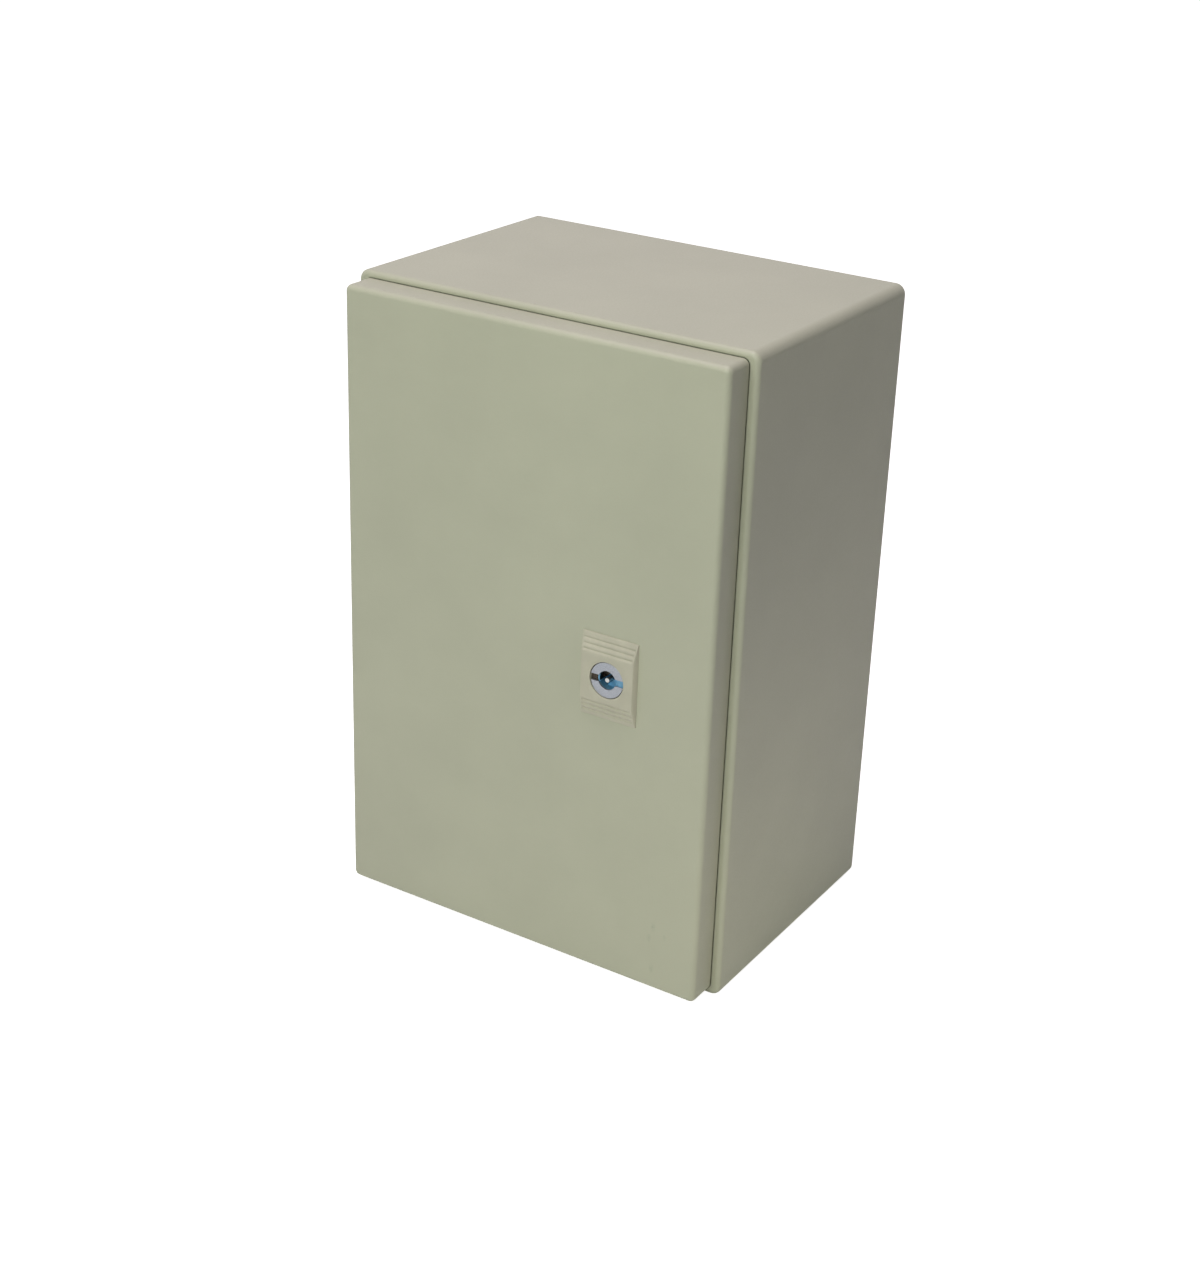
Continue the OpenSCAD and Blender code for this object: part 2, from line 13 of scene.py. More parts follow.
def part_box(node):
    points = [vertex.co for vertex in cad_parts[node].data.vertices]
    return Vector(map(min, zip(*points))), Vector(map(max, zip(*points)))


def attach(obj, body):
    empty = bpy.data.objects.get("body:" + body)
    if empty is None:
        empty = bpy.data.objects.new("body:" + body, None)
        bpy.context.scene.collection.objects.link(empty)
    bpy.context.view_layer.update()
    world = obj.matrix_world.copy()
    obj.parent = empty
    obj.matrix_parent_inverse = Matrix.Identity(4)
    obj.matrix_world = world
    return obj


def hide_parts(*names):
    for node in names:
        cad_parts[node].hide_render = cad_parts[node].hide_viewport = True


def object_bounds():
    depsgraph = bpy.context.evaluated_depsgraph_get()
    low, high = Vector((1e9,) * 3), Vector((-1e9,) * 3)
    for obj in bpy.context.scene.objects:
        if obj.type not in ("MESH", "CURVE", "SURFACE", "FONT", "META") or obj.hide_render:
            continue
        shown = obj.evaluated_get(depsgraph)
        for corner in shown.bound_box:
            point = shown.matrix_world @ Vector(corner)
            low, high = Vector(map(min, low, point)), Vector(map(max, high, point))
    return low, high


bl_info = {
    "name": "Steel wall enclosure",
    "version": (1, 0, 0),
    "blender": (4, 5, 0),
    "location": "View3D > Sidebar > Enclosure",
    "description": "Dresses the packed steel wall enclosure and lights it in a plain studio",
    "category": "Object",
}

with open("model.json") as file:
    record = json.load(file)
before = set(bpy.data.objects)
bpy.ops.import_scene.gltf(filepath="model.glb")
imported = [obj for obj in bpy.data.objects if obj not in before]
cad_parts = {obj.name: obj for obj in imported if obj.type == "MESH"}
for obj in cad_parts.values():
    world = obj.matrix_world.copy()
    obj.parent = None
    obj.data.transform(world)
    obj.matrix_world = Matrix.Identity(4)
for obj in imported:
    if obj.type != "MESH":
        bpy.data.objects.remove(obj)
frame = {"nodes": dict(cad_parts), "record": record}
CAD_LOW, CAD_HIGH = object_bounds()
MM = 0.001
BODY_OF = {node: body for body, nodes in frame["record"]["behaviour"]["bodies"].items() for node in nodes}
SLOT_OF = {part["node"]: part["material_slot"] for part in frame["record"]["subparts"]}
M8, M5 = 8 * MM, 5 * MM
# Bore of a nut by its width across flats, both in millimetres.
NUT_BORE = {27: 20.0, 13: 8.0, 8: 5.0}
# Where the escutcheon's face has points across it, as shares of its half width: closer together by the sides.
NEAR_SIDE = (0.9, 0.925, 0.94, 0.955, 0.97, 0.985, 1.0)
FACE_STATIONS = [*(-place for place in reversed(NEAR_SIDE)), *(i / 10 for i in range(-8, 9)), *NEAR_SIDE]
# The camera's place in metres, its turn in degrees, and the shift of its lens.
CAMERA_PLACE = (0.7064, -1.2614, 0.5837)
CAMERA_TURN = (66.2788, -2.2401, 31.9326)
CAMERA_SHIFT = (-0.0259, -0.0177)


def colour_prop(name, description, default):
    """A colour that the user can change."""
    return FloatVectorProperty(
        name=name, description=description, subtype="COLOR", size=3, min=0.0, max=1.0, default=default
    )


def length_prop(name, description, millimetres):
    """A length that the user can change, kept in metres."""
    return FloatProperty(
        name=name, description=description, subtype="DISTANCE", unit="LENGTH", min=0.0,
        default=millimetres * MM, precision=4,
    )


class EnclosureFinishes(PropertyGroup):
    """Colours and textures of the enclosure's finishes."""

    paint: colour_prop("Paint", "Pebble-grey powder coat", (0.440, 0.434, 0.342))
    paint_roughness: FloatProperty(
        name="Paint roughness", description="How matt the powder coat is", min=0.0, max=1.0, default=0.42
    )
    orange_peel: length_prop("Orange peel", "Width of one dimple in the powder coat", 1.3)
    zinc: colour_prop("Zinc", "Zinc-plated fasteners and hinges", (0.60, 0.61, 0.61))
    blue_zinc: colour_prop("Blue zinc", "Blue-passivated lock insert", (0.16, 0.36, 0.55))
    die_cast: colour_prop("Die-cast zinc", "Face of the lock's barrel", (0.38, 0.395, 0.44))
    # Painted shade: this dark colour stands for the shade in the key opening's left notch and bore and on the upper
    # left of the rotor's cup.
    lock_shade: colour_prop("Lock shade", "Painted shade in the lock's key opening", (0.06, 0.05, 0.04))
    galvanised: colour_prop("Galvanised sheet", "Mounting plate and cam", (0.55, 0.57, 0.59))
    plastic: colour_prop("Moulded plastic", "Beige escutcheon of the lock", (0.47, 0.44, 0.36))
    foam: colour_prop("Seal foam", "Foamed polyurethane seals", (0.045, 0.045, 0.048))


class EnclosureEscutcheon(PropertyGroup):
    """Shape of the lock's escutcheon where it is finer than the CAD part."""

    end_thickness: length_prop("End thickness", "Thickness at the upper and lower ends", 0.8)
    slope: length_prop("Slope", "Length of each sloping end", 13.0)
    draft: length_prop("Draft", "How far the sides lean in up to the face", 1.5)
    edge_round: length_prop("Edge round", "Radius of the moulded edges", 0.4)
    first_groove: length_prop("First groove", "Distance from an end to its first groove", 4.1)
    groove_pitch: length_prop("Groove pitch", "Distance between grooves", 3.5)
    groove_width: length_prop("Groove width", "Width of a groove at half its depth", 1.2)
    groove_depth: length_prop("Groove depth", "Depth of the grooves", 0.75)
    seat_gap: length_prop("Seat gap", "Gap round the lock's face", 0.45)
    grooves: IntProperty(name="Grooves", description="Number of grooves at each end", min=0, default=3)


class EnclosureEdges(PropertyGroup):
    """Broken edges of the metal parts."""

    sheet_edge: length_prop("Sheet edge", "Radius on the cut edges of sheet parts", 0.25)
    lock_edge: length_prop("Lock edge", "Radius on the edges of the lock's turned and cast parts", 0.22)
    rotor_edge: length_prop("Rotor edge", "Radius on the edges of the rotor's lands", 0.4)
    barrel_pitch: length_prop("Barrel pitch", "Pitch of the thread on the lock's barrel", 1.5)


class EnclosureFasteners(PropertyGroup):
    """Studs, nuts and washers."""

    coarse_pitch: length_prop("M8 pitch", "Pitch of the M8 threads", 1.25)
    fine_pitch: length_prop("M5 pitch", "Pitch of the M5 threads", 0.8)
    washer_thickness: length_prop("Earth washer", "Thickness of the washers under the earth nuts", 1.6)
    washer_edge: length_prop("Washer edge", "Radius on the stamped edges of washers", 0.2)
    collar_length: length_prop("Collar", "Length of the collars that hold the mounting plate off the back", 15.0)
    seed: IntProperty(name="Seed", description="Seed of how far each nut happens to be turned", default=4)


class EnclosureSeal(PropertyGroup):
    """The foamed seal on the door."""

    width: length_prop("Width", "Width of the foam", 12.0)
    corner: length_prop("Corner", "Radius of the seal's middle line at its corners", 6.5)
    press: length_prop("Press", "Depth of the line that the lip has pressed into the seal", 0.7)


class EnclosureWear(PropertyGroup):
    """Marks of handling."""

    scuff: FloatProperty(
        name="Scuffs", description="Strength of the faint scuffs on the door", min=0.0, max=1.0, default=0.35
    )


class EnclosureStage(PropertyGroup):
    """Light and camera."""

    lens: FloatProperty(name="Lens", description="Focal length of the camera", subtype="DISTANCE_CAMERA", default=60.29)
    key_power: FloatProperty(
        name="Key light", description="Power of the lamp before the door", subtype="POWER", default=24.0
    )
    top_power: FloatProperty(name="Top light", description="Power of the lamp above", subtype="POWER", default=28.8)
    ambient: FloatProperty(name="Room light", description="Light of the pale room on the enclosure", default=0.102)
    reflected: FloatProperty(
        name="Room in reflections", description="Brightness of the room in shiny surfaces", default=0.82
    )
    floor_size: length_prop("Floor", "Width of the pale floor", 30000.0)


# Node helpers.


def new_material(name):
    """An empty node material: (material, tree, Principled shader, Object coordinates)."""
    material = bpy.data.materials.new(name)
    material.use_nodes = True
    tree = material.node_tree
    shader = tree.nodes["Principled BSDF"]
    coords = tree.nodes.new("ShaderNodeTexCoord")
    return material, tree, shader, coords.outputs["Object"]


def noise(tree, coords, cells_per_metre, detail=2.0, stretch=None, roughness=0.5):
    """A noise pattern with about that many cells to the metre."""
    if stretch:
        mapping = tree.nodes.new("ShaderNodeMapping")
        mapping.inputs["Scale"].default_value = stretch
        tree.links.new(coords, mapping.inputs["Vector"])
        coords = mapping.outputs["Vector"]
    node = tree.nodes.new("ShaderNodeTexNoise")
    node.inputs["Scale"].default_value = cells_per_metre
    node.inputs["Detail"].default_value = detail
    node.inputs["Roughness"].default_value = roughness
    tree.links.new(coords, node.inputs["Vector"])
    return node.outputs["Fac"]


def ramp(tree, value, stops):
    """Maps a value to colours: stops are (place, colour) pairs."""
    node = tree.nodes.new("ShaderNodeValToRGB")
    elements = node.color_ramp.elements
    while len(elements) < len(stops):
        elements.new(0.5)
    for element, (place, shade) in zip(elements, stops):
        element.position = place
        element.color = (*shade, 1.0) if not isinstance(shade, float) else (shade, shade, shade, 1.0)
    tree.links.new(value, node.inputs["Fac"])
    return node.outputs["Color"]


def bump(tree, shader, height, distance, strength=1.0, under=None):
    """Raises the surface by a height pattern, over another bump where there is one."""
    node = tree.nodes.new("ShaderNodeBump")
    node.inputs["Distance"].default_value = distance
    node.inputs["Strength"].default_value = strength
    tree.links.new(height, node.inputs["Height"])
    if under is not None:
        tree.links.new(under, node.inputs["Normal"])
    tree.links.new(node.outputs["Normal"], shader.inputs["Normal"])
    return node.outputs["Normal"]


def shades(colour, low, high):
    """A darker and a lighter tone of a colour."""
    return [min(1.0, c * low) for c in colour], [min(1.0, c * high) for c in colour]


# Finishes.


def powder_coat(name, colour, roughness, dimple):
    """Textured powder coat: fine orange peel, a slow drift of tone and of gloss."""
    material, tree, shader, coords = new_material(name)
    dark, light = shades(colour, 0.97, 1.03)
    drift = noise(tree, coords, 14.0, 3.0)
    tree.links.new(ramp(tree, drift, [(0.3, dark), (0.7, light)]), shader.inputs["Base Color"])
    gloss = noise(tree, coords, 1.0 / dimple, 2.0)
    tree.links.new(ramp(tree, gloss, [(0.3, roughness - 0.05), (0.7, roughness + 0.06)]), shader.inputs["Roughness"])
    peel = noise(tree, coords, 1.0 / dimple, 1.5)
    waves = noise(tree, coords, 0.12 / dimple, 2.0)
    under = bump(tree, shader, waves, 0.0004, 0.5)
    bump(tree, shader, peel, 0.00016, 0.55, under)
    return material


def plated_steel(name, colour, roughness=0.32, grain=900.0, tint=None):
    """Plated or galvanised metal with a fine uneven sheen."""
    material, tree, shader, coords = new_material(name)
    dark, light = shades(colour, 0.82, 1.1)
    if tint:
        light = tint
    cloud = noise(tree, coords, grain * 0.25, 4.0)
    tree.links.new(ramp(tree, cloud, [(0.35, dark), (0.65, light)]), shader.inputs["Base Color"])
    shader.inputs["Metallic"].default_value = 1.0
    fine = noise(tree, coords, grain, 3.0)
    tree.links.new(ramp(tree, fine, [(0.3, roughness - 0.08), (0.7, roughness + 0.1)]), shader.inputs["Roughness"])
    bump(tree, shader, fine, 0.00004, 0.6)
    return material


def spangled_sheet(name, colour):
    """Hot-dip galvanised sheet with its crystal spangle."""
    material, tree, shader, coords = new_material(name)
    cells = tree.nodes.new("ShaderNodeTexVoronoi")
    cells.inputs["Scale"].default_value = 210.0
    tree.links.new(coords, cells.inputs["Vector"])
    grey = tree.nodes.new("ShaderNodeRGBToBW")
    tree.links.new(cells.outputs["Color"], grey.inputs["Color"])
    dark, light = shades(colour, 0.92, 1.07)
    tree.links.new(ramp(tree, grey.outputs["Val"], [(0.2, dark), (0.8, light)]), shader.inputs["Base Color"])
    tree.links.new(ramp(tree, grey.outputs["Val"], [(0.2, 0.34), (0.8, 0.48)]), shader.inputs["Roughness"])
    shader.inputs["Metallic"].default_value = 1.0
    bump(tree, shader, noise(tree, coords, 900.0, 3.0), 0.00003, 0.5)
    return material


def moulded_plastic(name, colour, roughness=0.5):
    """Matt moulded plastic with a fine spark-eroded grain."""
    material, tree, shader, coords = new_material(name)
    dark, light = shades(colour, 0.95, 1.04)
    tone = ramp(tree, noise(tree, coords, 60.0, 3.0), [(0.35, dark), (0.65, light)])
    tree.links.new(tone, shader.inputs["Base Color"])
    shader.inputs["Roughness"].default_value = roughness
    bump(tree, shader, noise(tree, coords, 2500.0, 2.0), 0.00004, 0.5)
    return material


def foamed_seal(name, colour):
    """Foamed-in-place seal: a dull skin with pinholes."""
    material, tree, shader, coords = new_material(name)
    dark, light = shades(colour, 0.7, 1.5)
    skin = noise(tree, coords, 500.0, 4.0, roughness=0.7)
    tree.links.new(ramp(tree, skin, [(0.35, dark), (0.7, light)]), shader.inputs["Base Color"])
    shader.inputs["Roughness"].default_value = 0.85
    shader.inputs["Specular IOR Level"].default_value = 0.3
    bump(tree, shader, skin, 0.0002, 0.6)
    return material


def finishes(context):
    """All the finishes by the name of their material slot, made once."""
    chosen = context.scene.enclosure_finishes
    if "Powder coat" not in bpy.data.materials:
        powder_coat("Powder coat", chosen.paint, chosen.paint_roughness, chosen.orange_peel)
        plated_steel("Zinc-plated steel", chosen.zinc)
        plated_steel("Pressed zinc-plated steel", [c * 0.9 for c in chosen.zinc], 0.4)
        blued = plated_steel("Blue-passivated zinc", chosen.blue_zinc, 0.4, 1200.0)
        blued.node_tree.nodes["Principled BSDF"].inputs["Metallic"].default_value = 0.5
        plated_steel("Die-cast zinc", chosen.die_cast, 0.5, 6000.0)
        # Dark zinc whose colour is painted shade in the lock's key opening.
        plated_steel("Greased zinc", chosen.lock_shade, 0.3, 1500.0)
        spangled_sheet("Galvanised sheet", chosen.galvanised)
        moulded_plastic("Beige plastic", chosen.plastic)
        foamed_seal("Seal foam", chosen.foam)
    by_slot = {
        "paint": "Powder coat",
        "bright_steel": "Zinc-plated steel",
        "zinc": "Pressed zinc-plated steel",
        "blue_zinc": "Blue-passivated zinc",
        "die_cast_zinc": "Die-cast zinc",
        "galvanised": "Galvanised sheet",
        "beige_plastic": "Beige plastic",
        "seal_foam": "Seal foam",
    }
    return {slot: bpy.data.materials[name] for slot, name in by_slot.items()}


# Mesh helpers. Lengths are metres; turned and hexagonal pieces are made round the Z axis, foot at z = 0.


def merged(node):
    """A CAD node's mesh with its loose triangles joined up."""
    bm = bmesh.new()
    bm.from_mesh(frame["nodes"][node].data)
    bmesh.ops.remove_doubles(bm, verts=bm.verts, dist=1e-6)
    return bm


def solids(node):
    """(lowest corner, highest corner) of each separate solid of a CAD node, in a fixed order."""
    bm = merged(node)
    unseen, boxes = set(bm.verts), []
    while unseen:
        stack, found = [unseen.pop()], []
        while stack:
            vert = stack.pop()
            found.append(vert.co.copy())
            near = [edge.other_vert(vert) for edge in vert.link_edges]
            fresh = [other for other in near if other in unseen]
            unseen.difference_update(fresh)
            stack.extend(fresh)
        boxes.append(tuple(Vector(pick(co[i] for co in found) for i in range(3)) for pick in (min, max)))
    bm.free()
    return sorted(boxes, key=lambda box: tuple(round(value, 5) for value in box[0]))


def skin(bm, rings, looped=False):
    """Joins rings of points by faces, and closes the ends unless the rings come round to the first."""
    loops = [[bm.verts.new(point) for point in ring] for ring in rings]
    pairs = list(zip(loops, loops[1:] + loops[:1])) if looped else list(zip(loops, loops[1:]))
    for one, two in pairs:
        for i in range(len(one)):
            j = (i + 1) % len(one)
            bm.faces.new((one[i], one[j], two[j], two[i]))
    if not looped:
        bm.faces.new(reversed(loops[0]))
        bm.faces.new(loops[-1])


def circle(radius, z, count):
    """Points round a level circle. The radius may depend on the angle."""
    points = []
    for i in range(count):
        angle = math.tau * i / count
        r, height = (radius(angle) if callable(radius) else radius), (z(angle) if callable(z) else z)
        points.append(Vector((r * math.cos(angle), r * math.sin(angle), height)))
    return points


def hexagon(bm, flats, foot, height, bore=0.0, count=48):
    """A hexagon nut, or a head where there is no bore, with its corners chamfered at 30 degrees."""
    face = 0.48 * flats
    lead = 0.04 * bore

    def edge(angle):
        return flats / 2 / math.cos(angle % math.radians(60) - math.radians(30))

    def drop(angle):
        return (edge(angle) - face) * math.tan(math.radians(30))

    outside = [
        circle(face, foot, count),
        circle(edge, lambda a: foot + drop(a), count),
        circle(edge, lambda a: foot + height - drop(a), count),
        circle(face, foot + height, count),
    ]
    inside = [
        circle(bore / 2 + lead, foot + height, count),
        circle(bore / 2, foot + height - lead, count),
        circle(bore / 2, foot + lead, count),
        circle(bore / 2 + lead, foot, count),
    ]
    skin(bm, outside + (inside if bore else []), looped=bool(bore))


def washer(bm, outer, inner, foot, thickness, edge, count=48):
    """A flat ring with broken edges."""
    profile = [
        (inner, foot + edge), (inner + edge, foot), (outer - edge, foot), (outer, foot + edge),
        (outer, foot + thickness - edge), (outer - edge, foot + thickness),
        (inner + edge, foot + thickness), (inner, foot + thickness - edge),
    ]
    skin(bm, [circle(radius, z, count) for radius, z in profile], looped=True)


def thread(bm, diameter, foot, length, pitch, bore=0.0, count=32):
    """A threaded rod with a chamfered tip, or a threaded tube where it has a bore."""
    depth = 0.6 * pitch
    steps = max(2, round(4 * length / pitch))

    def at(z):
        def radius(angle):
            wave = (z / pitch - angle / math.tau) % 1.0
            cut = depth * abs(2 * wave - 1)
            return min(diameter / 2 - cut, diameter / 2 - depth + max(0.0, length - z) * 0.8)
        return radius

    rings = [circle(at(length * i / steps), foot + length * i / steps, count) for i in range(steps + 1)]
    if bore:
        rings += [circle(bore / 2, foot + length, count), circle(bore / 2, foot, count)]
    skin(bm, rings, looped=bool(bore))


def finished_mesh(bm, name, smooth_under=40.0):
    """Turns the bmesh into a mesh with outward normals, smooth where faces meet at less than that many degrees."""
    bmesh.ops.recalc_face_normals(bm, faces=bm.faces)
    mesh = bpy.data.meshes.new(name)
    bm.to_mesh(mesh)
    bm.free()
    mesh.shade_smooth()
    mesh.set_sharp_from_angle(angle=math.radians(smooth_under))
    return mesh


def baked(holder, *helpers):
    """The plain mesh that an object's modifiers make. The object and its helpers are then removed."""
    graph = bpy.context.evaluated_depsgraph_get()
    mesh = bpy.data.meshes.new_from_object(holder.evaluated_get(graph), preserve_all_data_layers=True, depsgraph=graph)
    for used in (holder, *helpers):
        bpy.data.objects.remove(used)
    if not mesh.polygons:
        raise RuntimeError(f"{mesh.name} came out empty")
    return mesh


def scene_object(name, data):
    """An object in the scene at the origin."""
    made = bpy.data.objects.new(name, data)
    bpy.context.scene.collection.objects.link(made)
    return made


def stand_in(name, mesh, node, material=None):
    """Puts a piece in the place of a CAD node: same body, same material slot."""
    if material or not mesh.materials:
        mesh.materials.clear()
        mesh.materials.append(material or finishes(bpy.context)[SLOT_OF[node]])
    piece = scene_object(name, mesh)
    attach(piece, BODY_OF[node])
    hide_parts(node)
    return piece


def standing(direction, foot=Vector((0, 0, 0))):
    """Turns what stands on +Z to stand along the direction, with its foot there."""
    return Matrix.Translation(foot) @ Vector((0, 0, 1)).rotation_difference(direction).to_matrix().to_4x4()


def flat_faces(mesh):
    """Bends the normals at rounded edges only, so that flat faces shade flat."""
    source = scene_object(mesh.name + " normals", mesh)
    weighted = source.modifiers.new("Flat faces", "WEIGHTED_NORMAL")
    weighted.keep_sharp = True
    weighted.weight = 100
    return baked(source)


def eased(node, width, segments=2):
    """A copy of a CAD node with its sharp edges rounded."""
    bm = merged(node)
    bmesh.ops.dissolve_limit(bm, angle_limit=math.radians(0.5), verts=bm.verts, edges=bm.edges)
    source = scene_object(node + " source", finished_mesh(bm, node + " source"))
    rounding = source.modifiers.new("Edges", "BEVEL")
    rounding.width = width
    rounding.segments = segments
    rounding.limit_method = "ANGLE"
    rounding.angle_limit = math.radians(35)
    rounding.harden_normals = True
    return baked(source)


# Geometry Nodes.


def new_tree(name, inputs):
    """A geometry node tree with those (name, socket type) inputs: (tree, group input, group output)."""
    tree = bpy.data.node_groups.new(name, "GeometryNodeTree")
    for label, kind in [("Geometry", "NodeSocketGeometry"), *inputs]:
        tree.interface.new_socket(label, in_out="INPUT", socket_type=kind)
    tree.interface.new_socket("Geometry", in_out="OUTPUT", socket_type="NodeSocketGeometry")
    return tree, tree.nodes.new("NodeGroupInput"), tree.nodes.new("NodeGroupOutput")


def add_node(tree, kind, links=(), **settings):
    """A node with those settings. links are (output socket, input name or index) pairs."""
    node = tree.nodes.new(kind)
    for key, value in settings.items():
        setattr(node, key, value)
    for socket, place in links:
        tree.links.new(socket, node.inputs[place])
    return node


def finish_tree(tree, geometry, finish, out):
    """Ends a tree: everything made real, in its finish."""
    real = add_node(tree, "GeometryNodeRealizeInstances", [(geometry, "Geometry")])
    shaded = add_node(tree, "GeometryNodeSetMaterial", [(real.outputs["Geometry"], "Geometry"), (finish, "Material")])
    tree.links.new(shaded.outputs["Geometry"], out.inputs["Geometry"])


def apply_tree(holder, tree, values):
    """Puts the tree on an object, with its named inputs set before it is first evaluated."""
    modifier = holder.modifiers.new(tree.name, "NODES")
    modifier.node_group = tree
    for item in tree.interface.items_tree:
        if item.item_type == "SOCKET" and item.in_out == "INPUT" and item.name in values:
            modifier[item.identifier] = values[item.name]
    holder.update_tag()


def repeat_tree():
    """Puts a fastener at every point, each turned by its own amount round the axis."""
    if "Repeated fasteners" in bpy.data.node_groups:
        return bpy.data.node_groups["Repeated fasteners"]
    tree, given, out = new_tree("Repeated fasteners", [
        ("Fastener", "NodeSocketObject"), ("Finish", "NodeSocketMaterial"),
        ("Axis", "NodeSocketVector"), ("Seed", "NodeSocketInt"),
    ])
    source = add_node(tree, "GeometryNodeObjectInfo", [(given.outputs["Fastener"], "Object")])
    placed = add_node(tree, "GeometryNodeInstanceOnPoints", [
        (given.outputs["Geometry"], "Points"), (source.outputs["Geometry"], "Instance"),
    ])
    chance = add_node(tree, "FunctionNodeRandomValue", [(given.outputs["Seed"], "Seed")], data_type="FLOAT")
    for socket in chance.inputs:
        if socket.enabled and socket.name == "Max":
            socket.default_value = math.tau
    amount = next(socket for socket in chance.outputs if socket.enabled)
    about = add_node(tree, "ShaderNodeVectorMath", [(given.outputs["Axis"], 0), (amount, "Scale")], operation="SCALE")
    turn = add_node(tree, "FunctionNodeEulerToRotation", [(about.outputs["Vector"], "Euler")])
    turned = add_node(tree, "GeometryNodeRotateInstances", [
        (placed.outputs["Instances"], "Instances"), (turn.outputs["Rotation"], "Rotation"),
    ])
    finish_tree(tree, turned.outputs["Instances"], given.outputs["Finish"], out)
    return tree


def sweep_tree():
    """Carries a section round a rectangle with rounded corners, standing in a plane that faces +Y."""
    tree, given, out = new_tree("Swept seal", [
        ("Section", "NodeSocketObject"), ("Finish", "NodeSocketMaterial"), ("Width", "NodeSocketFloat"),
        ("Height", "NodeSocketFloat"), ("Corner", "NodeSocketFloat"), ("Place", "NodeSocketVector"),
    ])
    outline = add_node(tree, "GeometryNodeCurvePrimitiveQuadrilateral", [
        (given.outputs["Width"], "Width"), (given.outputs["Height"], "Height"),
    ], mode="RECTANGLE")
    corners = add_node(tree, "GeometryNodeFilletCurve", [
        (outline.outputs["Curve"], "Curve"), (given.outputs["Corner"], "Radius"),
    ], mode="POLY")
    corners.inputs["Count"].default_value = 10
    upright = add_node(tree, "GeometryNodeSetCurveNormal", [(corners.outputs["Curve"], "Curve")], mode="Z_UP")
    section = add_node(tree, "GeometryNodeObjectInfo", [(given.outputs["Section"], "Object")])
    swept = add_node(tree, "GeometryNodeCurveToMesh", [
        (upright.outputs["Curve"], "Curve"), (section.outputs["Geometry"], "Profile Curve"),
    ])
    stood = add_node(tree, "GeometryNodeTransform", [
        (swept.outputs["Mesh"], "Geometry"), (given.outputs["Place"], "Translation"),
    ])
    stood.inputs["Rotation"].default_value = (math.radians(-90), 0, 0)
    finish_tree(tree, stood.outputs["Geometry"], given.outputs["Finish"], out)
    return tree


# Pieces.


class ENCLOSURE_OT_finish_parts(Operator):
    """Gives every part of the enclosure the finish that its record names"""

    bl_idname = "enclosure.finish_parts"
    bl_label = "Finish the parts"

    def execute(self, context):
        by_slot = finishes(context)
        for node, slot in SLOT_OF.items():
            mesh = frame["nodes"][node].data
            mesh.materials.clear()
            mesh.materials.append(by_slot[slot])
        return {"FINISHED"}


class ENCLOSURE_OT_mark_door(Operator):
    """Gives the door its own coat, with faint scuffs near its lower free corner"""

    bl_idname = "enclosure.mark_door"
    bl_label = "Mark the door"

    def execute(self, context):
        chosen = context.scene.enclosure_finishes
        coat = powder_coat("Scuffed powder coat", chosen.paint, chosen.paint_roughness, chosen.orange_peel)
        self.scuff(coat.node_tree, context.scene.enclosure_wear.scuff)
        door = frame["nodes"]["door_panel"].data
        door.materials.clear()
        door.materials.append(coat)
        return {"FINISHED"}

    def scuff(self, tree, strength):
        """Darkens the coat in a few small ragged spots, given as x, z and size in millimetres."""
        shader = tree.nodes["Principled BSDF"]
        coords = next(node for node in tree.nodes if node.type == "TEX_COORD").outputs["Object"]
        ragged = noise(tree, coords, 700.0, 4.0, roughness=0.7)
        total = None
        for x, z, size in ((110.0, -172.0, 2.6), (107.0, -181.5, 2.2), (119.0, -177.0, 1.6), (110.0, -204.0, 2.4)):
            away = add_node(tree, "ShaderNodeVectorMath", [(coords, 0)], operation="SUBTRACT")
            away.inputs[1].default_value = (x * MM, CAD_LOW.y, z * MM)
            flat = add_node(tree, "ShaderNodeVectorMath", [(away.outputs["Vector"], 0)], operation="MULTIPLY")
            flat.inputs[1].default_value = (1.0, 0.0, 0.5)
            far = add_node(tree, "ShaderNodeVectorMath", [(flat.outputs["Vector"], 0)], operation="LENGTH")
            near = add_node(
                tree, "ShaderNodeMapRange", [(far.outputs["Value"], "Value")], interpolation_type="SMOOTHSTEP"
            )
            near.inputs["From Max"].default_value = size * MM
            near.inputs["To Min"].default_value = 1.0
            near.inputs["To Max"].default_value = 0.0
            spot = near.outputs["Result"]
            if total is not None:
                spot = add_node(tree, "ShaderNodeMath", [(total, 0), (spot, 1)], operation="MAXIMUM").outputs["Value"]
            total = spot
        broken = ramp(tree, ragged, [(0.42, 0.0), (0.58, strength)])
        much = add_node(tree, "ShaderNodeMath", [(total, 0), (broken, 1)], operation="MULTIPLY")
        under = shader.inputs["Base Color"].links[0].from_socket
        mix = add_node(tree, "ShaderNodeMix", data_type="RGBA")
        factor, first, second = (
            next(socket for socket in mix.inputs if socket.enabled and socket.name == name)
            for name in ("Factor", "A", "B")
        )
        tree.links.new(much.outputs["Value"], factor)
        tree.links.new(under, first)
        second.default_value = (0.22, 0.25, 0.19, 1.0)
        tree.links.new(next(socket for socket in mix.outputs if socket.enabled), shader.inputs["Base Color"])


